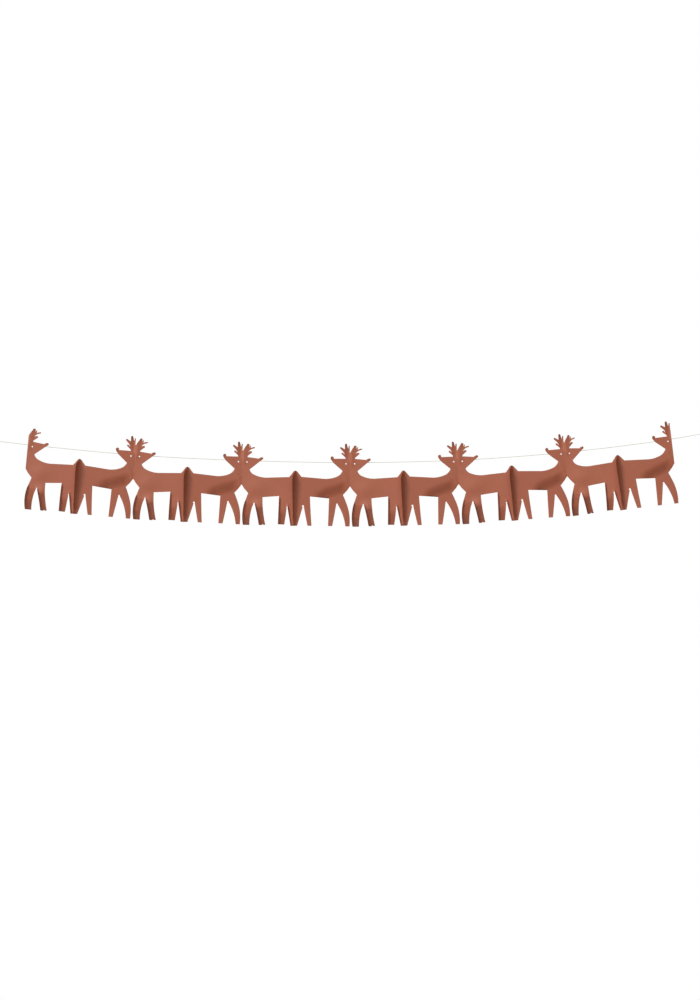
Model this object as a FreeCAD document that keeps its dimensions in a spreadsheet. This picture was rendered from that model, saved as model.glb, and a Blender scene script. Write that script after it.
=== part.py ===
# Reindeer paper chain garland, in millimetres.
# Twelve die-cut card reindeer, one folded sheet each, are glued to each other in a zigzag:
# rump to rump with a fin that stands to the front, and head to head with a flap that stands
# to the back. A thin cord runs through a punched hole in every head flap, and is tied into
# a hanging loop at each end.
# The viewer looks along +Y, +X is to the right and +Z is up. The origin is the point of the
# left loop that bears on its hook.

import FreeCAD, Part

import os
from math import atan2, cos, degrees, pi, radians, sin, tan

from FreeCAD import Placement, Rotation, Vector

doc = FreeCAD.newDocument("reindeer_garland")

# Driving dimensions: alias, value and what it is
DIMENSIONS = [
    ("deer_count", 12, "reindeer in the chain, an even number"),
    ("sheet_width", 149.5, "one reindeer, from its head fold to its rump fold"),
    ("card_thickness", 0.35, "thickness of the card"),
    ("rump_shift", 1.4, "how far the rump folds lie left of midway between head folds"),
    ("zigzag_depth", 8, "how far the head folds lie behind the rump folds"),
    ("valley_rise", 27.7, "top of the head fold above the cord, between two antlers"),
    ("brow_rise", 10, "top of the head above the cord"),
    ("throat_drop", 24.3, "throat below the cord"),
    ("back_drop", 44.3, "back below the cord"),
    ("tail_drop", 25.3, "tip of the tail below the cord"),
    ("chest_drop", 66.7, "bottom of the head fold below the cord"),
    ("belly_drop", 98.6, "belly below the cord"),
    ("foot_drop", 177.8, "feet below the cord"),
    ("eye_diameter", 3.8, "punched eye"),
    ("right_eye_offset", 13, "eye of a right-facing reindeer from its head fold"),
    ("left_eye_offset", 10.8, "eye of a left-facing reindeer from its head fold"),
    ("eye_drop", 3.7, "eye below the cord"),
    ("fin_depth", 20, "glued rump fin, from the fold to its free edge"),
    ("fin_lean", 25, "how far the fins lean to the left of straight forward, in degrees"),
    ("fin_root", 4.5, "start of the curved free edge, in front of the rump fold"),
    ("fin_low_depth", 11.8, "depth of the fin where its lower end starts to round off"),
    ("fin_top_drop", 30, "upper end of the fin's free edge below the cord"),
    ("fin_end_drop", 167, "lower end of the fin's free edge below the cord"),
    ("fin_top_bow", 28, "height over which the fin's upper end rounds off"),
    ("fin_low_bow", 22, "height over which the fin's lower end rounds off"),
    ("tight_bend", 2.5, "rump bend of the sheet that the fin leans over"),
    ("wide_bend", 14, "rump bend of the other sheet"),
    ("flap_depth", 14, "glued head flap, from the fold to its free edge"),
    ("flap_rise", 20, "top of the head flap above the cord"),
    ("flap_drop", 58, "bottom of the head flap below the cord"),
    ("flap_corner", 4, "corner radius of the head flap"),
    ("hole_diameter", 4, "punched hole for the cord"),
    ("hole_setback", 7, "hole behind the head fold"),
    ("hang_gap", 0.6, "gap between the cord and the top of its hole"),
    ("first_joint", 104.6, "first head fold from the left loop"),
    ("cord_diameter", 1.2, "twisted cord"),
    ("knot_length", 5, "knot of a hanging loop, along the cord"),
    ("knot_diameter", 3.8, "knot of a hanging loop, across"),
    ("knot_rounding", 1.2, "rounded ends of the knot"),
    ("loop_length", 17, "inside length of a hanging loop, from the knot to the hook"),
    ("loop_bend", 5, "centre-line radius of the loop's round end"),
]

# Route of the cord from knot to knot, as (x, z): the ends and the place of each head fold.
CORD_ROUTE = [
    (21.84, -2.67),
    (104, -12.7),
    (402, -42.6),
    (700, -57.1),
    (1000, -63.2),
    (1298, -57.3),
    (1596, -35.5),
    (1893, 1.1),
    (1978.44, 18.5),
]
ARC_SHARE = 0.45

# How far cutting tools and raw strips run past what they shape.
OVERRUN = 10


def fill_spreadsheet():
    """Write the driving dimensions into the document's sheet."""
    table = doc.addObject("Spreadsheet::Sheet", "Dimensions")
    for row, (alias, value, note) in enumerate(DIMENSIONS, start=1):
        table.set(f"A{row}", note)
        table.set(f"B{row}", str(value))
        table.setAlias(f"B{row}", alias)
    doc.recompute()
    return table


dimensions = fill_spreadsheet()


def size(alias):
    """A driving dimension as a number."""
    return float(dimensions.get(alias))


width = size("sheet_width")
right_width = width - size("rump_shift")
left_width = width + size("rump_shift")
valley = size("valley_rise")
brow = size("brow_rise")
throat = -size("throat_drop")
back = -size("back_drop")
tail = -size("tail_drop")
chest = -size("chest_drop")
belly = -size("belly_drop")
feet = -size("foot_drop")

# Depths of the two kinds of fold, in front of the plane that the cord hangs in
head_depth = -size("hole_setback")
rump_depth = head_depth - size("zigzag_depth")

# Outlines of one reindeer, as seen from the front: distance from the head fold towards the
# rump, and height over the cord. A step of one point is a straight edge to it, and a step of
# two points is an arc through the first that ends at the second.

RIGHT_FACING_HEAD = [
    # a stout stem that curves away from the fold, with three tines on its far side
    [(1.0, valley)],
    [(5.6, valley + 8.4), (10.6, valley + 15.1)],
    [(14.6, valley + 19.2), (19.0, valley + 16.0)],
    [(17.4, valley + 10.4)],
    [(21.2, valley + 14.8)],
    [(23.0, valley + 14.0)],
    [(21.4, valley + 8.2)],
    [(31.6, valley + 10.3)],
    [(34.0, valley + 8.6), (32.0, valley + 6.7)],
    [(24.0, valley + 4.1)],
    [(16.0, valley - 2.4)],
    [(22.4, valley - 1.0)],
    [(26.4, valley - 3.0), (24.4, valley - 6.9)],
    [(14.8, valley - 14.5)],
    # forehead, blunt nose, jaw
    [(14.2, brow)],
    [(46.4, brow - 3.8)],
    [(48.0, brow - 1.5), (51.4, brow - 0.9)],
    [(57.8, brow - 2.6), (57.5, brow - 5.0)],
    [(21.2, throat)],
]

LEFT_FACING_HEAD = [
    # an upright stem with a short tine along the fold and three on its far side
    [(0.4, valley)],
    [(0.4, valley + 16.0)],
    [(2.0, valley + 18.8), (3.6, valley + 16.0)],
    [(5.2, valley + 10.5)],
    [(7.8, valley + 21.2)],
    [(10.8, valley + 24.4), (14.0, valley + 21.0)],
    [(14.0, valley + 8.8)],
    [(23.0, valley + 14.0)],
    [(27.4, valley + 13.2), (26.2, valley + 9.6)],
    [(18.2, valley + 1.4)],
    [(14.2, valley - 6.0)],
    [(19.6, valley - 1.0)],
    [(23.4, valley - 2.0), (22.6, valley - 5.4)],
    [(13.2, valley - 13.4)],
    # forehead, round nose, jaw
    [(12.2, brow + 0.4)],
    [(45.2, brow - 0.2)],
    [(49.8, brow + 6.2), (53.8, brow + 0.6)],
    [(52.8, brow - 2.8)],
    [(46.2, brow - 11.8)],
    [(20.8, throat + 0.8)],
]

RIGHT_FACING_REAR = [
    # hollow of the neck, back, tail
    [(26.0, throat - 8.6), (34.4, back + 5.6)],
    [(50.0, back + 0.1), (71.0, back - 1.8)],
    [(right_width - 17.5, back + 0.9)],
    [(right_width - 11.6, tail - 11.3), (right_width - 6.0, tail - 3.5)],
    [(right_width - 3.2, tail - 1.0), (right_width, tail)],
]

LEFT_FACING_REAR = [
    # hollow of the neck, back, tail
    [(25.8, throat - 7.8), (34.2, back + 5.4)],
    [(50.0, back - 0.2), (71.9, back - 2.2)],
    [(left_width - 17.2, back + 2.1)],
    [(left_width - 11.6, tail - 10.1), (left_width - 6.4, tail - 3.8)],
    [(left_width - 3.2, tail - 1.1), (left_width, tail)],
]

RIGHT_FACING_LEGS = [
    # outer hind leg, from its foot at the rump fold
    [(right_width - 10.8, feet - 1.0)],
    [(right_width - 20.0, feet + 50.0)],
    [(right_width - 21.0, feet + 52.6), (right_width - 22.2, feet + 49.4)],
    # inner hind leg
    [(right_width - 23.8, feet + 34.0), (right_width - 28.4, feet + 2.0)],
    [(right_width - 45.5, feet + 2.4)],
    [(right_width - 43.7, belly + 1.8)],
    # belly and inner front leg, whose foot shows two toes
    [(59.0, belly - 2.2)],
    [(61.4, feet + 38.0), (67.8, feet + 0.4)],
    [(63.2, feet - 0.2)],
    [(60.6, feet + 1.8)],
    [(57.6, feet - 1.0)],
    [(50.2, feet - 0.4)],
    [(45.4, feet + 26.0), (37.8, feet + 58.6)],
    [(36.4, feet + 61.2), (34.8, feet + 58.6)],
    # outer front leg and chest
    [(30.2, feet + 46.4)],
    [(26.6, feet + 29.0), (24.4, feet - 1.2)],
    [(6.8, feet - 1.0)],
    [(4.8, feet + 31.0), (9.2, feet + 59.0)],
    [(17.6, chest - 26.8)],
    [(18.8, chest - 24.2), (17.4, chest - 21.6)],
    [(7.6, chest - 10.6)],
    [(0.4, chest)],
]

LEFT_FACING_LEGS = [
    # outer hind leg, from its foot at the rump fold
    [(left_width - 7.6, feet - 0.6)],
    [(left_width - 22.0, feet + 52.0)],
    [(left_width - 23.4, feet + 56.8), (left_width - 24.9, feet + 53.4)],
    # inner hind leg
    [(left_width - 29.9, feet + 28.0), (left_width - 35.9, feet)],
    [(left_width - 46.8, feet)],
    [(left_width - 43.9, feet + 38.0), (left_width - 41.4, belly + 2.0)],
    # belly and inner front leg
    [(57.4, belly - 2.4)],
    [(59.6, feet + 0.2)],
    [(48.2, feet + 0.2)],
    [(42.9, feet + 29.0), (37.6, feet + 60.2)],
    [(35.6, feet + 63.2), (33.6, feet + 60.6)],
    # outer front leg and chest
    [(23.0, feet + 40.0), (12.6, feet)],
    [(1.3, feet)],
    [(1.6, feet + 32.0), (9.6, feet + 64.0)],
    [(17.6, chest - 27.0)],
    [(18.8, chest - 24.2), (17.0, chest - 21.6)],
    [(7.4, chest - 10.4)],
    [(0.4, chest)],
]

OUTLINES = {
    "right": RIGHT_FACING_HEAD + RIGHT_FACING_REAR,
    "left": LEFT_FACING_HEAD + LEFT_FACING_REAR,
}
LEGS = {"right": RIGHT_FACING_LEGS, "left": LEFT_FACING_LEGS}


def feature(name, shape):
    """A document object that holds a given shape."""
    holder = doc.addObject("Part::Feature", name)
    holder.Shape = shape
    return holder


def turned_path(points, radii):
    """Straight runs through the points, joined by tangent arcs of the given radii."""
    edges = []
    start = points[0]
    for before, corner, after, radius in zip(points, points[1:], points[2:], radii):
        inward = (before - corner).normalize()
        outward = (after - corner).normalize()
        half_turn = (pi - inward.getAngle(outward)) / 2
        reach = radius * tan(half_turn)
        first = corner + inward * reach
        last = corner + outward * reach
        bisector = (inward + outward).normalize()
        middle = corner + bisector * (radius / cos(half_turn) - radius)
        edges.append(Part.LineSegment(start, first).toShape())
        edges.append(Part.Arc(first, middle, last).toShape())
        start = last
    edges.append(Part.LineSegment(start, points[-1]).toShape())
    return Part.Wire(edges)


def cord_radii(points):
    """Arc radii of a cord: each as large as its two runs allow."""
    radii = []
    for before, corner, after in zip(points, points[1:], points[2:]):
        turn = (corner - before).getAngle(after - corner)
        run = min(before.distanceToPoint(corner), corner.distanceToPoint(after))
        radii.append(ARC_SHARE * run / tan(turn / 2))
    return radii


def tube(path, diameter):
    """A solid tube along a path, from its first point."""
    start = path.OrderedEdges[0]
    direction = start.tangentAt(start.FirstParameter)
    ring = Part.makeCircle(diameter / 2, path.OrderedVertexes[0].Point, direction)
    return path.makePipeShell([Part.Wire(ring)], True, False)


cord_points = [Vector(x, 0, z) for x, z in CORD_ROUTE]
cord_path = turned_path(cord_points, cord_radii(cord_points))


def cord_height(x):
    """Height of the cord's centre line where it passes a head fold."""
    reach = size("foot_drop")
    plumb = Part.makeLine(Vector(x, 0, -reach), Vector(x, 0, reach))
    nearest = plumb.distToShape(cord_path)[1][0][0]
    return nearest.z


class Joints:
    """The folds of the chain: its head folds hang on the cord, one pair of sheets apart."""

    def __init__(self):
        self.heads = [self.on_cord(size("first_joint"))]
        self.leans = []
        for _ in range(int(size("deer_count")) // 2):
            last = self.heads[-1]
            following = self.on_cord(last.x + 2 * width)
            for _ in range(3):
                slope = atan2(last.z - following.z, following.x - last.x)
                following = self.on_cord(last.x + 2 * width * cos(slope))
            self.heads.append(last + Vector(cos(slope), 0, -sin(slope)) * 2 * width)
            self.leans.append(slope)

    @staticmethod
    def on_cord(x):
        """The point of the cord's centre line at x."""
        return Vector(x, 0, cord_height(x))

    def head_lean(self, k):
        """Lean of a head fold: midway between those of the two pairs that meet there."""
        before = self.leans[max(k - 1, 0)]
        after = self.leans[min(k, len(self.leans) - 1)]
        return (before + after) / 2


class Sheet:
    """One reindeer's card in a frame of its own.

    Its origin is the cord behind the head fold, X runs along the pair of sheets, and Z is up
    the rump fold. side is 1 where the rump lies towards +X and -1 where it lies towards -X.
    head_tilt is the lean of the head fold in this frame.
    """

    def __init__(self, facing, head_tilt):
        self.facing = facing
        self.side = 1 if facing == "right" else -1
        self.width = right_width if facing == "right" else left_width
        self.head_tilt = head_tilt

    def at(self, along, height, depth):
        """A point at a distance from the head fold and a height over the cord."""
        # The card keeps the rump fold's lean for as far as its fin reaches.
        free = self.width - size("fin_depth")
        share = min(max(along / free, 0), 1)
        tilt = self.head_tilt * (1 - share)
        return Vector(self.side * along + height * sin(tilt), depth, height * cos(tilt))


def strip_corners(sheet):
    """Middle line of the folded strip in plan: past the head fold, rump fold, fin edge."""
    half = size("card_thickness") / 2
    lean = radians(size("fin_lean"))
    # The fins lean to the viewer's left: towards the head of a right-facing reindeer.
    fin = Vector(-sheet.side * sin(lean), -cos(lean), 0)
    off_glue = Vector(-cos(lean), sheet.side * sin(lean), 0)
    head = Vector(0, head_depth, 0)
    rump = Vector(sheet.width, rump_depth, 0) + off_glue * half
    past_head = head + (head - rump).normalize() * OVERRUN
    return [past_head, rump, rump + fin * size("fin_depth")]


def offset_line(corners, distance):
    """The same folded line moved sideways, with its corner where the moved runs meet."""
    normals = []
    for a, b in zip(corners, corners[1:]):
        run = (b - a).normalize()
        normals.append(Vector(-run.y, run.x, 0))
    between = (normals[0] + normals[1]).normalize()
    return [
        corners[0] + normals[0] * distance,
        corners[1] + between * (distance / between.dot(normals[0])),
        corners[2] + normals[1] * distance,
    ]


def strip_section(sheet):
    """Outline of the folded strip in plan, at the level of its lower end."""
    corners = strip_corners(sheet)
    bend = size("tight_bend") if sheet.facing == "right" else size("wide_bend")
    half = size("card_thickness") / 2
    behind = turned_path(offset_line(corners, half), [bend + half])
    in_front = turned_path(offset_line(corners, -half), [bend - half])
    edges = behind.Edges + in_front.Edges
    for end in (0, -1):
        tips = (behind.OrderedVertexes[end].Point, in_front.OrderedVertexes[end].Point)
        edges.append(Part.LineSegment(*tips).toShape())
    section = Part.Wire(Part.__sortEdges__(edges))
    if sheet.side < 0:
        section = section.mirror(Vector(0, 0, 0), Vector(1, 0, 0))
    section.translate(Vector(0, 0, feet - OVERRUN))
    return section


def outline_wire(start, steps, place):
    """A closed wire through steps of straight edges and arcs."""
    edges = []
    here = place(*start)
    for step in steps + [[start]]:
        points = [place(*p) for p in step]
        if len(points) == 2:
            edges.append(Part.Arc(here, *points).toShape())
        else:
            edges.append(Part.LineSegment(here, points[0]).toShape())
        here = points[-1]
    return Part.Wire(edges)


def front_outline(sheet):
    """The reindeer's outline as seen from the front. It runs past the rump fold."""
    heel = feet - 1.0
    beyond = sheet.width + OVERRUN
    past_rump = [[(beyond, tail)], [(beyond, heel)]]
    steps = OUTLINES[sheet.facing] + past_rump + LEGS[sheet.facing] + [[(0, chest)]]
    in_front = rump_depth - size("fin_depth") - OVERRUN
    return outline_wire((0, valley), steps, lambda a, v: sheet.at(a, v, in_front))


def side_outline():
    """The fin's free edge as seen from the side, across the whole sheet."""
    top = valley + 3 * OVERRUN
    bottom = feet - 2 * OVERRUN
    root = rump_depth - size("fin_root")
    behind = head_depth + OVERRUN
    # Depths measured along the leaning fin, seen from the side
    foreshortening = cos(radians(size("fin_lean")))
    edge = rump_depth - size("fin_depth") * foreshortening
    low_edge = rump_depth - size("fin_low_depth") * foreshortening
    upper_end = -size("fin_top_drop")
    lower_end = -size("fin_end_drop")
    shoulder = upper_end - size("fin_top_bow")
    hem = lower_end + size("fin_low_bow")
    bow = sin(radians(45))
    steps = [
        [(root, upper_end)],
        [(root + (edge - root) * bow, shoulder + size("fin_top_bow") * bow), (edge, shoulder)],
        [(low_edge, hem)],
        [(root + (low_edge - root) * bow, hem - size("fin_low_bow") * bow), (root, lower_end)],
        [(root, bottom)],
        [(behind, bottom)],
        [(behind, top)],
    ]
    return outline_wire((root, top), steps, lambda y, z: Vector(0, y, z))


def flap_outline(sheet):
    """The head flap, from the middle of the card at the fold to its free edge."""
    root = head_depth
    edge = root + size("flap_depth")
    corner = size("flap_corner")
    bulge = corner * (1 - sin(radians(45)))
    rise = size("flap_rise")
    drop = -size("flap_drop")
    steps = [
        [(edge - corner, drop)],
        [(edge - bulge, drop + bulge), (edge, drop + corner)],
        [(edge, rise - corner)],
        [(edge - bulge, rise - bulge), (edge - corner, rise)],
        [(root, rise)],
    ]
    return outline_wire((root, drop), steps, lambda y, v: sheet.at(0, v, y))


def extrusion(name, wire, direction, length):
    """A solid prism from a closed wire. Its length is an expression on the sheet."""
    prism = doc.addObject("Part::Extrusion", name)
    prism.Base = feature(f"{name}_profile", wire)
    prism.DirMode = "Custom"
    prism.Dir = direction
    prism.Solid = True
    prism.setExpression("LengthFwd", length)
    return prism


def punch(name, start, direction, diameter):
    """A round punch along a direction, with its diameter bound to the sheet."""
    cylinder = doc.addObject("Part::Cylinder", name)
    cylinder.setExpression("Radius", f"Dimensions.{diameter} / 2")
    cylinder.Height = 2 * OVERRUN
    cylinder.Placement = Placement(start, Rotation(Vector(0, 0, 1), direction))
    return cylinder


def combined(kind, name, base, tool):
    """A boolean of two objects."""
    result = doc.addObject(kind, name)
    result.Base = base
    result.Tool = tool
    return result


def reindeer(number, sheet, head, lean):
    """One reindeer: a folded strip of card cut to its outline, its head flap, its punches."""
    name = f"reindeer_{number:02d}"
    strip = extrusion(
        f"{name}_strip",
        strip_section(sheet),
        Vector(0, 0, 1),
        f"Dimensions.foot_drop + Dimensions.valley_rise + {5 * OVERRUN}",
    )
    front = extrusion(
        f"{name}_front",
        front_outline(sheet),
        Vector(0, 1, 0),
        f"Dimensions.fin_depth + Dimensions.zigzag_depth + {3 * OVERRUN}",
    )
    outline = side_outline()
    outline.translate(Vector(-sheet.side * 2 * OVERRUN, 0, 0))
    side = extrusion(
        f"{name}_side",
        outline,
        Vector(sheet.side, 0, 0),
        f"Dimensions.sheet_width + {4 * OVERRUN}",
    )
    trimmed = combined("Part::Common", f"{name}_trimmed", strip, side)
    panel = combined("Part::Common", f"{name}_panel", trimmed, front)

    off_fold = Vector(cos(sheet.head_tilt), 0, -sin(sheet.head_tilt)) * sheet.side
    flap = extrusion(
        f"{name}_flap", flap_outline(sheet), off_fold, "Dimensions.card_thickness"
    )
    card = combined("Part::Fuse", f"{name}_card", panel, flap)

    eye_offset = size(f"{sheet.facing}_eye_offset")
    eye_start = sheet.at(eye_offset, -size("eye_drop"), head_depth - OVERRUN)
    eye = punch(f"{name}_eye", eye_start, Vector(0, 1, 0), "eye_diameter")
    slack = (size("hole_diameter") - size("cord_diameter")) / 2 - size("hang_gap")
    hole_start = sheet.at(0, -slack, 0) - Vector(OVERRUN, 0, 0)
    hole = punch(f"{name}_hole", hole_start, Vector(1, 0, 0), "hole_diameter")
    punches = combined("Part::Fuse", f"{name}_punches", eye, hole)

    finished = combined("Part::Cut", name, card, punches)
    finished.Placement = Placement(head, Rotation(Vector(0, 1, 0), degrees(lean)))
    return finished


def hanging_loop(name, knot_end, direction):
    """The cord's end, tied into a loop: a round knot and the loop beyond it."""
    across = Rotation(Vector(0, 0, 1), direction)
    knot = doc.addObject("Part::Cylinder", f"{name}_knot_blank")
    knot.setExpression("Radius", "Dimensions.knot_diameter / 2")
    knot.setExpression("Height", "Dimensions.knot_length")
    knot.Placement = Placement(knot_end, across)
    doc.recompute()
    rounded = doc.addObject("Part::Fillet", f"{name}_knot")
    rounded.Base = knot
    rounding = size("knot_rounding")
    rims = [
        (index, rounding, rounding)
        for index, edge in enumerate(knot.Shape.Edges, start=1)
        if edge.isClosed() and edge.Curve.TypeId == "Part::GeomCircle"
    ]
    rounded.Edges = rims

    # The loop leaves the knot's far end, opens out to its round end and comes back.
    upward = direction.cross(Vector(0, 1, 0))
    far_end = knot_end + direction * size("knot_length")
    bend = size("loop_bend")
    centre = far_end + direction * (size("loop_length") - bend + size("cord_diameter") / 2)
    reach = far_end.distanceToPoint(centre)
    open_angle = pi / 2 - atan2(bend, (reach**2 - bend**2) ** 0.5)
    touch = [
        centre - direction * (bend * cos(open_angle)) + upward * (s * bend * sin(open_angle))
        for s in (1, -1)
    ]
    inside = far_end - direction * size("knot_length") / 2
    loop_edges = [
        Part.LineSegment(inside, touch[0]).toShape(),
        Part.Arc(touch[0], centre + direction * bend, touch[1]).toShape(),
        Part.LineSegment(touch[1], inside).toShape(),
    ]
    strands = []
    for label, edges in (("upper", loop_edges[:2]), ("lower", loop_edges[2:])):
        strand = feature(f"{name}_{label}", tube(Part.Wire(edges), size("cord_diameter")))
        strands.append(strand)
    loop = doc.addObject("Part::MultiFuse", name)
    loop.Shapes = [rounded] + strands
    return loop


def hanging_cord():
    """The cord between its two knots, through the holes of the head flaps."""
    cord = feature("hanging_cord", tube(cord_path, size("cord_diameter")))
    section = pi * size("cord_diameter") ** 2 / 4
    print("cord radii:", [round(r) for r in cord_radii(cord_points)])
    print(f"cord length: {cord_path.Length:.1f}")
    print(f"cord volume over section x length: {cord.Shape.Volume / section / cord_path.Length:.4f}")
    return cord


def whole_garland():
    """Every sub-part of the garland."""
    joints = Joints()
    pieces = []
    for k, lean in enumerate(joints.leans):
        for facing, end in (("right", k), ("left", k + 1)):
            sheet = Sheet(facing, joints.head_lean(end) - lean)
            pieces.append(reindeer(len(pieces) + 1, sheet, joints.heads[end], lean))
    pieces.append(hanging_cord())
    first = (cord_points[0] - cord_points[1]).normalize()
    last = (cord_points[-1] - cord_points[-2]).normalize()
    pieces.append(hanging_loop("left_loop", cord_points[0], first))
    pieces.append(hanging_loop("right_loop", cord_points[-1], last))
    return pieces


def check(pieces):
    """Stop if any object failed or any sub-part isn't a valid solid."""
    for part in doc.Objects:
        if "Invalid" in part.State or "Error" in part.State:
            raise RuntimeError(f"{part.Name} failed: {part.State}")
    for part in pieces:
        if part.Shape.isNull() or not part.Shape.isValid():
            raise RuntimeError(f"{part.Name} has no valid shape")
        if len(part.Shape.Solids) != 1:
            raise RuntimeError(f"{part.Name} has {len(part.Shape.Solids)} solids")


pieces = whole_garland()
doc.recompute()
check(pieces)
os.makedirs("parts", exist_ok=True)
for part in pieces:
    part.Label = part.Name
    part.Shape.exportStep(f"parts/{part.Label}.step")
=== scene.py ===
"""Looks of the reindeer paper chain garland: bent card, pale cord, tied ends and stage."""

from math import atan, cos, pi, radians, sin
from typing import NamedTuple

import bmesh
import bpy
import numpy as np
from bpy.props import FloatProperty, FloatVectorProperty, PointerProperty
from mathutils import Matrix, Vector


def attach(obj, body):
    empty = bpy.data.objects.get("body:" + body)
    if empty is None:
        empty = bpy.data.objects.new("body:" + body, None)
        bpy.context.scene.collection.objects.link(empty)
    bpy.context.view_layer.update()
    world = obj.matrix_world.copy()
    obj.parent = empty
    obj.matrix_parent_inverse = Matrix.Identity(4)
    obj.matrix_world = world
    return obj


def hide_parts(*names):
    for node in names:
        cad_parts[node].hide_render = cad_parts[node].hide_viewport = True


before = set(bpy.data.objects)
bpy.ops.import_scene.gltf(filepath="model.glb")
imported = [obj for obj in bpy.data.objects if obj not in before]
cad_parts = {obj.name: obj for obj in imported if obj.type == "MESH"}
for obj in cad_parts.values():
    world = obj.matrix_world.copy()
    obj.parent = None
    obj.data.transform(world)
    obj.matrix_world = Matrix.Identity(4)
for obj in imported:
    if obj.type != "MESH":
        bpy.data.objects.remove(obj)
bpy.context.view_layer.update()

bl_info = {
    "name": "Reindeer Paper Chain",
    "version": (1, 0, 0),
    "blender": (4, 5, 0),
    "location": "3D View > Sidebar > Paper Chain",
    "description": "Dresses the packed garland in bent card and pale cord",
    "category": "Object",
}

MM = 0.001

# Route of the cord from knot to knot, in metres, in the plane y = 0.
CORD_ROUTE = [
    (0.02184, -0.00267),
    (0.104, -0.0127),
    (0.402, -0.0426),
    (0.700, -0.0571),
    (1.000, -0.0632),
    (1.298, -0.0573),
    (1.596, -0.0355),
    (1.893, 0.0011),
    (1.97844, 0.0185),
]
CORD_DIAMETER = 0.0012

# The cord at each head fold, and so the top of the folds' own measures, in metres.
HEAD_FOLDS = [
    (0.1046, -0.0126),
    (0.4023, -0.0409),
    (0.7009, -0.0562),
    (0.9998, -0.0619),
    (1.2987, -0.0555),
    (1.5970, -0.0337),
    (1.8938, 0.0020),
]
# Distance from a head fold, in mm, over which a panel turns from its head fold's lean to its own.
FREE_PANEL = 129
# A sheet's panel lies between these depths, in metres; its glued fin and head flap don't.
PANEL_FRONT = -0.016
PANEL_BACK = -0.006
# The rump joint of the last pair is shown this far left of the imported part's, in mm.
LAST_RUMP_SHIFT = 4.6
# The stretch from the head fold over which each of its two sheets is drawn along, in mm.
LAST_RUMP_STRETCH = {"reindeer_11": (0, 60), "reindeer_12": (60, 149)}
# Spacing of the cuts that let a sheet bend, across and upwards, in metres.
FULL_GRID = (2 * MM, 6 * MM)
# Edges where faces meet at more than this angle stay sharp, in degrees.
SHARP_ANGLE = 40
SHEETS = [f"reindeer_{number:02d}" for number in range(1, 13)]


# The picture at the sheets, in metres: its middle, its height and how far off the camera stands.
PICTURE_CENTRE = (1.0, -0.011, -0.1659)
PICTURE_HEIGHT = 2.7778
CAMERA_DISTANCE = 9.0
# The floor's left, right, front and back edges, in metres.
FLOOR_SIDES = (-0.9, 2.9)
FLOOR_DEPTHS = (-1.5, 1.1)


class CardLook(bpy.types.PropertyGroup):
    """Colour and bends of the card sheets."""

    colour: FloatVectorProperty(
        name="Colour",
        description="Printed brown of the card",
        subtype="COLOR",
        size=3,
        min=0,
        max=1,
        default=(0.37, 0.100, 0.047),
    )
    leg_swing: FloatProperty(
        name="Leg swing",
        description="How strongly the legs of the right-facing reindeer bend backwards",
        default=1.0,
        unit="NONE",
    )
    leg_curl: FloatProperty(
        name="Leg curl",
        description="How far the left edges of their legs curl forwards",
        default=5.0 * MM,
        unit="LENGTH",
    )
    chest_fold: FloatProperty(
        name="Chest fold",
        description="How far the chests of the left-facing reindeer fall back along a diagonal",
        default=9.5 * MM,
        unit="LENGTH",
    )
    antler_curl: FloatProperty(
        name="Antler curl",
        description="How far the tips of the antlers lean forwards",
        default=4.0 * MM,
        unit="LENGTH",
    )


class CordLook(bpy.types.PropertyGroup):
    """Colour of the cord."""

    colour: FloatVectorProperty(
        name="Colour",
        description="Natural pale thread",
        subtype="COLOR",
        size=3,
        min=0,
        max=1,
        default=(0.50, 0.51, 0.36),
    )


class StageLook(bpy.types.PropertyGroup):
    """Lamps, floor and surroundings."""

    key: FloatProperty(
        name="Key",
        description="Soft lamp from the upper left",
        default=2.25,
        unit="NONE",
    )
    fill: FloatProperty(
        name="Fill",
        description="Very broad lamp above the viewer",
        default=1.65,
        unit="NONE",
    )
    back: FloatProperty(
        name="Back",
        description="Weak lamp behind the garland",
        default=0.9,
        unit="NONE",
    )
    surround: FloatProperty(
        name="Surround",
        description="Light of the white room from all sides",
        default=0.15,
        unit="NONE",
    )
    floor_drop: FloatProperty(
        name="Floor",
        description="Floor below the left hook",
        default=2.6,
        unit="LENGTH",
    )


class Value:
    """One output of a shader tree that can stand in a sum."""

    def __init__(self, tree, socket):
        self.tree = tree
        self.socket = socket

    def _math(self, operation, first, second):
        return self.tree.node(
            "ShaderNodeMath", {"operation": operation}, {0: first, 1: second}
        )

    def __add__(self, other):
        return self._math("ADD", self, other)

    def __mul__(self, other):
        return self._math("MULTIPLY", self, other)

    __radd__ = __add__
    __rmul__ = __mul__


class Tree:
    """A material's or the world's node tree."""

    def __init__(self, owner):
        owner.use_nodes = True
        self.nodes = owner.node_tree.nodes
        self.links = owner.node_tree.links

    def node(self, kind, settings=None, inputs=None, output=0):
        """Add a node and return one of its outputs."""
        made = self.nodes.new(kind)
        for key, value in (settings or {}).items():
            setattr(made, key, value)
        self.feed(made, inputs or {})
        return Value(self, made.outputs[output])

    def feed(self, node, inputs):
        """Set or link the sockets of a node."""
        for key, value in inputs.items():
            if isinstance(value, Value):
                self.links.new(value.socket, node.inputs[key])
            else:
                node.inputs[key].default_value = value

    def mix(self, factor, first, second):
        """Blend two colours."""
        return self.node(
            "ShaderNodeMix",
            {"data_type": "RGBA"},
            {"Factor": factor, 6: first, 7: second},
            output=2,
        )

    def place(self):
        """Position on the object, in metres."""
        return self.node("ShaderNodeTexCoord", output="Object")

    def noise(self, scale, detail):
        """Noise from 0 to 1, with a scale in features per metre."""
        return self.node(
            "ShaderNodeTexNoise",
            inputs={"Vector": self.place(), "Scale": scale, "Detail": detail},
        )


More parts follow.
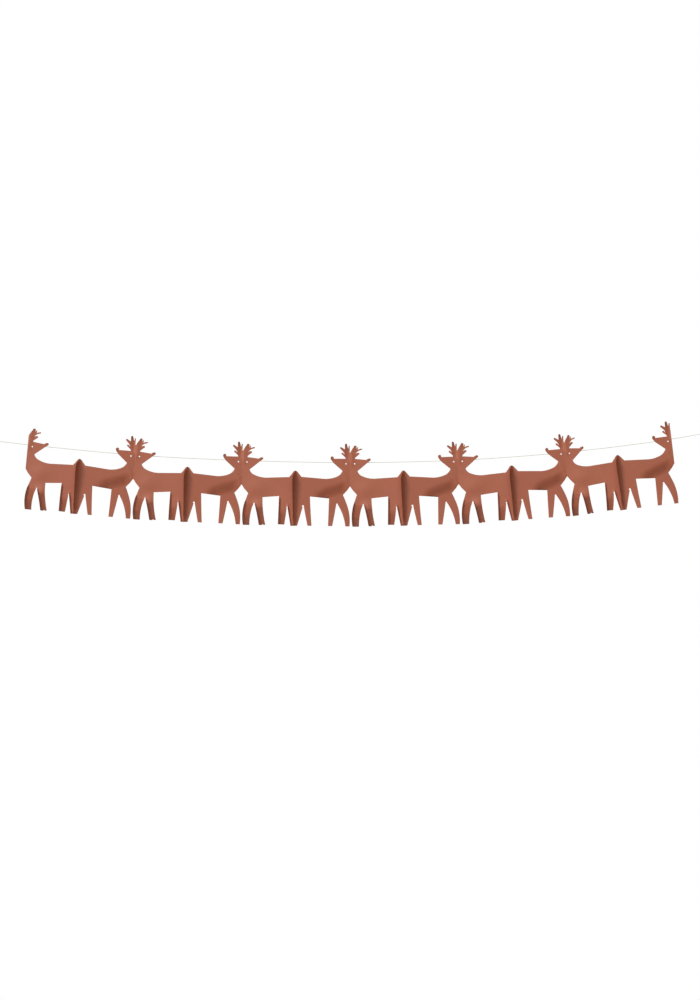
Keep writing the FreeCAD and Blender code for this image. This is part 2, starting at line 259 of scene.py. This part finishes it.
def principled(name, settings):
    """A new material: its tree, its shader node and itself."""
    material = bpy.data.materials.new(name)
    tree = Tree(material)
    shader = tree.nodes["Principled BSDF"]
    tree.feed(shader, settings)
    return tree, shader, material


def shade(colour, amount):
    """A colour made darker or lighter by a factor, opaque."""
    return (*(min(c * amount, 1) for c in colour[:3]), 1)


def card_material(look):
    """Brown printed card: faint clouds, pressed fibres and a slight sheen."""
    tree, shader, material = principled(
        "brown_card", {"Specular IOR Level": 0.55}
    )
    clouds = tree.noise(28, 3)
    fibres = tree.noise(520, 4)
    grain = tree.noise(1900, 2)
    light = tree.mix(clouds, shade(look.colour, 0.93), shade(look.colour, 1.08))
    colour = tree.mix(fibres * 0.35, light, shade(look.colour, 0.82))
    bump = tree.node(
        "ShaderNodeBump",
        inputs={
            "Strength": 0.25,
            "Distance": 0.1 * MM,
            "Height": fibres * 0.7 + grain * 0.3,
        },
    )
    varying = {
        "Base Color": colour,
        "Roughness": 0.44 + 0.12 * fibres,
        "Normal": bump,
    }
    tree.feed(shader, varying)
    return material


def cord_material(look):
    """Pale spun thread with painted shade: its colour darkens in the hollows between its fibres.
    """
    tree, shader, material = principled("pale_cord", {"Sheen Weight": 0.25})
    tufts = tree.noise(1500, 4)
    slubs = tree.noise(90, 2)
    # Painted shade: the colour darkens where the bump from the same noise sinks into hollows.
    colour = tree.mix(tufts, shade(look.colour, 0.72), shade(look.colour, 1.12))
    bump = tree.node(
        "ShaderNodeBump", inputs={"Strength": 0.4, "Distance": 0.1 * MM, "Height": tufts}
    )
    varying = {
        "Base Color": tree.mix(slubs * 0.3, colour, shade(look.colour, 1.25)),
        "Roughness": 0.7 + 0.2 * tufts,
        "Normal": bump,
    }
    tree.feed(shader, varying)
    return material


def floor_material():
    """Matt pale floor that the camera sees as nearly white."""
    tree, shader, material = principled("pale_floor", {"Specular IOR Level": 0.1})
    speckle = tree.noise(12, 2)
    varying = {
        "Base Color": tree.mix(speckle, (0.86, 0.86, 0.86, 1), (0.90, 0.90, 0.90, 1)),
        "Roughness": 0.85 + 0.1 * speckle,
    }
    tree.feed(shader, varying)
    return material


def smooth(value, low, high):
    """A soft step from 0 at low to 1 at high, for arrays."""
    share = np.clip((value - low) / (high - low), 0, 1)
    return share * share * (3 - 2 * share)


def span(value, rise, fall):
    """A share that rises from 0 to 1 over one stretch and falls back over another."""
    return smooth(value, *rise) * (1 - smooth(value, *fall))


class Lean(NamedTuple):
    """A strip's lean: the height where it starts, its slope, and the height it begins over."""

    start: float
    slope: float
    blend: float


class Bulge(NamedTuple):
    """A round swelling: its height, its centre and its reach, in mm."""

    height: float
    centre: tuple
    reach: tuple


# The measures below are in mm: u is the distance from the head fold, v the height over the cord.

# Left edges of the right-facing reindeer's legs, from the foot up to where the curl ends: how far
# the curl reaches in, and the edge.
LEFT_EDGES = [
    (3.5, [(6.8, -178.8), (4.8, -146.8), (9.2, -118.8), (12.0, -108.0)]),
    (5.5, [(50.2, -178.2), (45.4, -151.8), (37.8, -119.2), (36.4, -115.0)]),
    (5.0, [(102.6, -175.4), (104.4, -96.8)]),
    (5.5, [(137.3, -178.8), (128.1, -127.8), (127.1, -120.0)]),
]
# An edge's curl takes in points that lie this far outside it, and fades out over this height.
CURL_MARGIN = 1.5
CURL_FADE = (-1, 8)

# The line that parts the right-facing reindeer's front legs, and the stretch it fades over.
FRONT_CROTCH = -116
PARTING_SLANT = 0.1
FRONT_PARTING = (32, 38)
INNER_FRONT_END = (74, 90)
INNER_HIND = ((88, 100), (118, 134))
OUTER_HIND = ((130, 136), (143, 149))
RUMP_BEND = (143, 148)
INNER_FRONT_LEAN = Lean(start=-128, slope=0.54, blend=9)
OUTER_FRONT_LEAN = Lean(start=FRONT_CROTCH, slope=0.30, blend=16)
OUTER_SHIN_LEAN = Lean(start=-150, slope=0.36, blend=8)
INNER_HIND_LEAN = Lean(start=-136, slope=0.44, blend=16)
OUTER_HIND_RISE = Lean(start=-142, slope=0.22, blend=12)
KNEE = Bulge(height=3.4, centre=(47, -126), reach=(14, 15))
RIGHT_CHEST = Bulge(height=2.2, centre=(42, -74), reach=(26, 22))
RIGHT_NOSE_DEPTH = 2.5
RIGHT_SWELL = 1.6

# The line that the left-facing reindeer's chest falls back along: a point of it and the
# direction across it, downwards.
CHEST_LINE_POINT = (20, -58)
ACROSS_CHEST_LINE = (-0.34, -0.94)
CHEST_FALL = (-6, 28)
CHEST_END = (66, 104)
# The head joint holds the sheet down to the throat; the outer front leg below it hangs free.
HELD_ACROSS = (0, 26)
HELD_DOWN_TO = (62, 98)
LEFT_LEGS = ((2, 16), (118, 134))
LEFT_LEGS_RISE = Lean(start=-128, slope=0.05, blend=20)
# A faint crease from the throat to the foot of the head fold.
CREASE_FOOT = -67
CREASE_SLOPE = 0.5
CREASE_COSINE = 0.894
CREASE_WIDTH = 5
CREASE_HEIGHT = 0.9
LEFT_NOSE_DEPTH = 2.0
LEFT_SWELL = 2.0

# The antlers lean forwards from this height; the lean grows over the next height.
ANTLER_ROOT = 33
ANTLER_RISE = 18
ANTLER_MOST = 1.2


def edge_curl(u, v, edge, reach):
    """How strongly a leg's left edge curls, from 1 at the edge to 0 at its reach."""
    heights = [point[1] for point in edge]
    inside = u - np.interp(v, heights, [point[0] for point in edge])
    near = np.clip(1 - inside / reach, 0, 1) ** 2
    near[inside < -CURL_MARGIN] = 0
    return near * smooth(heights[-1] - v, *CURL_FADE)


def bulging(u, v, bulge):
    """Height of a round swelling, for arrays."""
    off_u = (u - bulge.centre[0]) / bulge.reach[0]
    off_v = (v - bulge.centre[1]) / bulge.reach[1]
    return bulge.height * np.exp(-(off_u**2) - off_v**2)


def hanging_back(v, lean, strength=1.0):
    """Depth of a strip that leans back below a start, with a soft beginning."""
    below = np.maximum(lean.start - v, 0)
    return lean.slope * strength * below**2 / (below + lean.blend)


def fold_swell(u, v, low):
    """A low ridge beside the head fold, above a height, for arrays."""
    return span(u, (0, 3), (4, 18)) * smooth(v, low, low + 14)


def bend_right_facing(u, v, look):
    """Depth that a right-facing sheet leaves its flat panel by, in mm, backwards positive."""
    swing = look.leg_swing
    parting = smooth(u + PARTING_SLANT * (v - FRONT_CROTCH), *FRONT_PARTING)
    inner_front = parting * (1 - smooth(u, *INNER_FRONT_END))
    depth = inner_front * hanging_back(v, INNER_FRONT_LEAN, swing)
    depth += (1 - parting) * hanging_back(v, OUTER_FRONT_LEAN, swing)
    depth += (1 - parting) * hanging_back(v, OUTER_SHIN_LEAN, swing)
    depth += span(u, *INNER_HIND) * hanging_back(v, INNER_HIND_LEAN, swing)
    depth -= bulging(u, v, KNEE)
    for reach, edge in LEFT_EDGES:
        curl = edge_curl(u, v, edge, reach) * (1 - smooth(u, *RUMP_BEND))
        depth -= look.leg_curl / MM * curl
    depth -= bulging(u, v, RIGHT_CHEST) * smooth(u, 0, 20)
    depth -= RIGHT_SWELL * fold_swell(u, v, -14)
    # The outer hind foot is turned up a little.
    depth -= span(u, *OUTER_HIND) * hanging_back(v, OUTER_HIND_RISE, swing)
    nose = smooth(u, 47, 60) * smooth(v, -4, 4)
    return depth + RIGHT_NOSE_DEPTH * nose


def bend_left_facing(u, v, look):
    """Depth that a left-facing sheet leaves its flat panel by, in mm, backwards positive."""
    off_u = (u - CHEST_LINE_POINT[0]) * ACROSS_CHEST_LINE[0]
    off_v = (v - CHEST_LINE_POINT[1]) * ACROSS_CHEST_LINE[1]
    held = (1 - smooth(u, *HELD_ACROSS)) * (1 - smooth(-v, *HELD_DOWN_TO))
    depth = look.chest_fold / MM * smooth(off_u + off_v, *CHEST_FALL) * (1 - held)
    depth *= 1 - smooth(u, *CHEST_END)
    depth -= hanging_back(v, LEFT_LEGS_RISE) * span(u, *LEFT_LEGS)
    off_crease = (u - (v - CREASE_FOOT) * CREASE_SLOPE) * CREASE_COSINE
    crease = np.exp(-((off_crease / CREASE_WIDTH) ** 2)) * span(v, (-68, -60), (-34, -24))
    depth -= CREASE_HEIGHT * crease * smooth(u, 0, 8)
    depth += LEFT_SWELL * fold_swell(u, v, 2)
    nose = smooth(u, 45, 58) * smooth(v, -4, 6)
    return depth - LEFT_NOSE_DEPTH * nose


def pair_lean(pair):
    """Lean of a pair of sheets, from the head folds at its two ends."""
    left, right = HEAD_FOLDS[pair], HEAD_FOLDS[pair + 1]
    return atan((left[1] - right[1]) / (right[0] - left[0]))


def sheet_measures(index, points):
    """Distance from the head fold and height over the cord of points on a sheet, in mm."""
    pair = index // 2
    lean = pair_lean(pair)
    side = 1 if index % 2 == 0 else -1
    fold = HEAD_FOLDS[pair if side > 0 else pair + 1]
    neighbour = pair_lean(min(max(pair - side, 0), len(HEAD_FOLDS) - 2))
    x = (points[:, 0] - fold[0]) / MM
    z = (points[:, 2] - fold[1]) / MM
    along = side * (x * cos(lean) - z * sin(lean))
    height = x * sin(lean) + z * cos(lean)
    # The head fold leans midway between its two pairs, the rump fold as its own pair does.
    tilt = (neighbour - lean) / 2 * (1 - np.clip(along / FREE_PANEL, 0, 1))
    return along - side * height * np.tan(tilt), height / np.cos(tilt), side


def cut_into_grid(mesh, across, upwards):
    """Cut a mesh along upright and level planes so that it can bend."""
    for axis, spacing in ((0, across), (2, upwards)):
        direction = Vector((axis == 0, 0, axis == 2))
        values = [vertex.co[axis] for vertex in mesh.verts]
        count = int((max(values) - min(values)) / spacing)
        for step in range(1, count + 1):
            everything = mesh.verts[:] + mesh.edges[:] + mesh.faces[:]
            plane = direction * (min(values) + step * spacing)
            bmesh.ops.bisect_plane(
                mesh, geom=everything, plane_co=plane, plane_no=direction, dist=1e-7
            )


def bent_sheet(index, look, across, upwards):
    """A sheet's solid cut into a grid and bent, as a new object."""
    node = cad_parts[SHEETS[index]]
    cut = bmesh.new()
    cut.from_mesh(node.data)
    bmesh.ops.remove_doubles(cut, verts=cut.verts[:], dist=2e-6)
    cut_into_grid(cut, across, upwards)
    mesh = bpy.data.meshes.new(f"card_{SHEETS[index]}")
    cut.to_mesh(mesh)
    cut.free()

    points = np.empty(len(mesh.vertices) * 3)
    mesh.vertices.foreach_get("co", points)
    points = points.reshape(-1, 3)
    u, v, side = sheet_measures(index, points)
    bend = bend_right_facing if side > 0 else bend_left_facing
    depth = bend(u, v, look)
    tips = np.clip((v - ANTLER_ROOT) / ANTLER_RISE, 0, ANTLER_MOST) ** 2
    depth -= look.antler_curl / MM * tips
    in_panel = (points[:, 1] > PANEL_FRONT) & (points[:, 1] < PANEL_BACK)
    points[:, 1] += np.where(in_panel, depth, 0) * MM
    if SHEETS[index] in LAST_RUMP_STRETCH:
        stretch = smooth(u, *LAST_RUMP_STRETCH[SHEETS[index]])
        points[:, 0] -= LAST_RUMP_SHIFT * MM * stretch
    mesh.vertices.foreach_set("co", points.ravel())

    mesh.update()
    mesh.shade_smooth()
    mesh.set_sharp_from_angle(angle=radians(SHARP_ANGLE))
    sheet = bpy.data.objects.new(f"card_{SHEETS[index]}", mesh)
    bpy.context.scene.collection.objects.link(sheet)
    return sheet


class GARLAND_OT_sheets(bpy.types.Operator):
    """Bend and paint the twelve card reindeer"""

    bl_idname = "garland.sheets"
    bl_label = "Card Reindeer"

    def execute(self, context):
        look = context.scene.garland_card
        card = card_material(look)
        across, upwards = FULL_GRID
        for index, name in enumerate(SHEETS):
            sheet = bent_sheet(index, look, across, upwards)
            sheet.data.materials.append(card)
            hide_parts(name)
            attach(sheet, "root")
        return {"FINISHED"}


def cord_curve(name, points, diameter):
    """A round cord on a smooth open curve that follows its points."""
    curve = bpy.data.curves.new(name, "CURVE")
    curve.dimensions = "3D"
    curve.bevel_depth = diameter / 2
    curve.bevel_resolution = 3
    curve.resolution_u = 16
    curve.use_fill_caps = True
    spline = curve.splines.new("NURBS")
    spline.points.add(len(points) - 1)
    for target, point in zip(spline.points, points):
        target.co = (*point, 1)
    spline.order_u = 3
    spline.use_endpoint_u = True
    made = bpy.data.objects.new(name, curve)
    bpy.context.scene.collection.objects.link(made)
    return made


class GARLAND_OT_cord(bpy.types.Operator):
    """Lay the taut cord between the two tied ends"""

    bl_idname = "garland.cord"
    bl_label = "Cord and Tied Ends"

    def execute(self, context):
        look = context.scene.garland_cord
        material = cord_material(look)
        route = [Vector((x, 0, z)) for x, z in CORD_ROUTE]
        cord = cord_curve("taut_cord", route, CORD_DIAMETER)
        cord.data.materials.append(material)
        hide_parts("hanging_cord")
        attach(cord, "root")
        for name in ("left_loop", "right_loop"):
            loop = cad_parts[name]
            loop.data.materials.clear()
            loop.data.materials.append(material)
        return {"FINISHED"}


def lamp(name, strength, towards, softness):
    """A soft sun that shines along a direction."""
    light = bpy.data.lights.new(name, "SUN")
    light.energy = strength
    light.angle = radians(softness)
    made = bpy.data.objects.new(name, light)
    made.rotation_mode = "QUATERNION"
    made.rotation_quaternion = Vector(towards).to_track_quat("-Z", "Y")
    bpy.context.scene.collection.objects.link(made)


def white_room(world, surround):
    """A room that lights from all sides and that the camera sees as white."""
    tree = Tree(world)
    seen = tree.node("ShaderNodeLightPath", output="Is Camera Ray")
    background = tree.nodes["Background"]
    tree.feed(background, {"Color": (1, 1, 1, 1), "Strength": surround + (1 - surround) * seen})


class GARLAND_OT_stage(bpy.types.Operator):
    """Set the camera, lamps, white room and pale floor"""

    bl_idname = "garland.stage"
    bl_label = "Stage"

    def execute(self, context):
        look = context.scene.garland_stage
        scene = context.scene
        camera = bpy.data.cameras.new("front_camera")
        camera.sensor_width = 36
        camera.lens = camera.sensor_width * CAMERA_DISTANCE / PICTURE_HEIGHT
        camera.clip_end = 60
        stand = bpy.data.objects.new("front_camera", camera)
        stand.location = Vector(PICTURE_CENTRE) - Vector((0, CAMERA_DISTANCE, 0))
        stand.rotation_euler = (pi / 2, 0, 0)
        scene.collection.objects.link(stand)
        scene.camera = stand

        lamp("upper_left_lamp", look.key, (0.72, 0.61, -0.50), 15)
        lamp("front_lamp", look.fill, (0.18, 0.80, -0.58), 95)
        lamp("back_lamp", look.back, (-0.35, -0.85, -0.45), 40)
        world = bpy.data.worlds.new("white_room")
        scene.world = world
        white_room(world, look.surround)

        floor_mesh = bpy.data.meshes.new("floor")
        left, right = FLOOR_SIDES
        near, far = FLOOR_DEPTHS
        corners = [(left, near), (right, near), (right, far), (left, far)]
        floor_mesh.from_pydata(
            [(x, y, -look.floor_drop) for x, y in corners], [], [(0, 1, 2, 3)]
        )
        floor = bpy.data.objects.new("floor", floor_mesh)
        scene.collection.objects.link(floor)
        floor_mesh.materials.append(floor_material())
        scene.view_settings.view_transform = "Standard"
        return {"FINISHED"}


class GARLAND_PT_panel(bpy.types.Panel):
    """Sidebar panel with the garland's steps and looks"""

    bl_label = "Paper Chain"
    bl_idname = "GARLAND_PT_panel"
    bl_space_type = "VIEW_3D"
    bl_region_type = "UI"
    bl_category = "Paper Chain"

    def draw(self, context):
        scene = context.scene
        for step in OPERATORS:
            self.layout.operator(step.bl_idname)
        for group in (scene.garland_card, scene.garland_cord, scene.garland_stage):
            box = self.layout.box()
            for key in group.__annotations__:
                box.prop(group, key)


OPERATORS = (GARLAND_OT_stage, GARLAND_OT_cord, GARLAND_OT_sheets)
LOOKS = {
    "garland_card": CardLook,
    "garland_cord": CordLook,
    "garland_stage": StageLook,
}


def register():
    """Add the looks, the operators and the panel."""
    for kind in (*LOOKS.values(), *OPERATORS, GARLAND_PT_panel):
        bpy.utils.register_class(kind)
    for name, kind in LOOKS.items():
        setattr(bpy.types.Scene, name, PointerProperty(type=kind))


def unregister():
    """Take them away again."""
    for name in LOOKS:
        delattr(bpy.types.Scene, name)
    for kind in (GARLAND_PT_panel, *reversed(OPERATORS), *LOOKS.values()):
        bpy.utils.unregister_class(kind)


def main():
    """Dress the garland."""
    register()
    bpy.ops.garland.stage()
    bpy.ops.garland.cord()
    bpy.ops.garland.sheets()


if __name__ == "__main__":
    main()
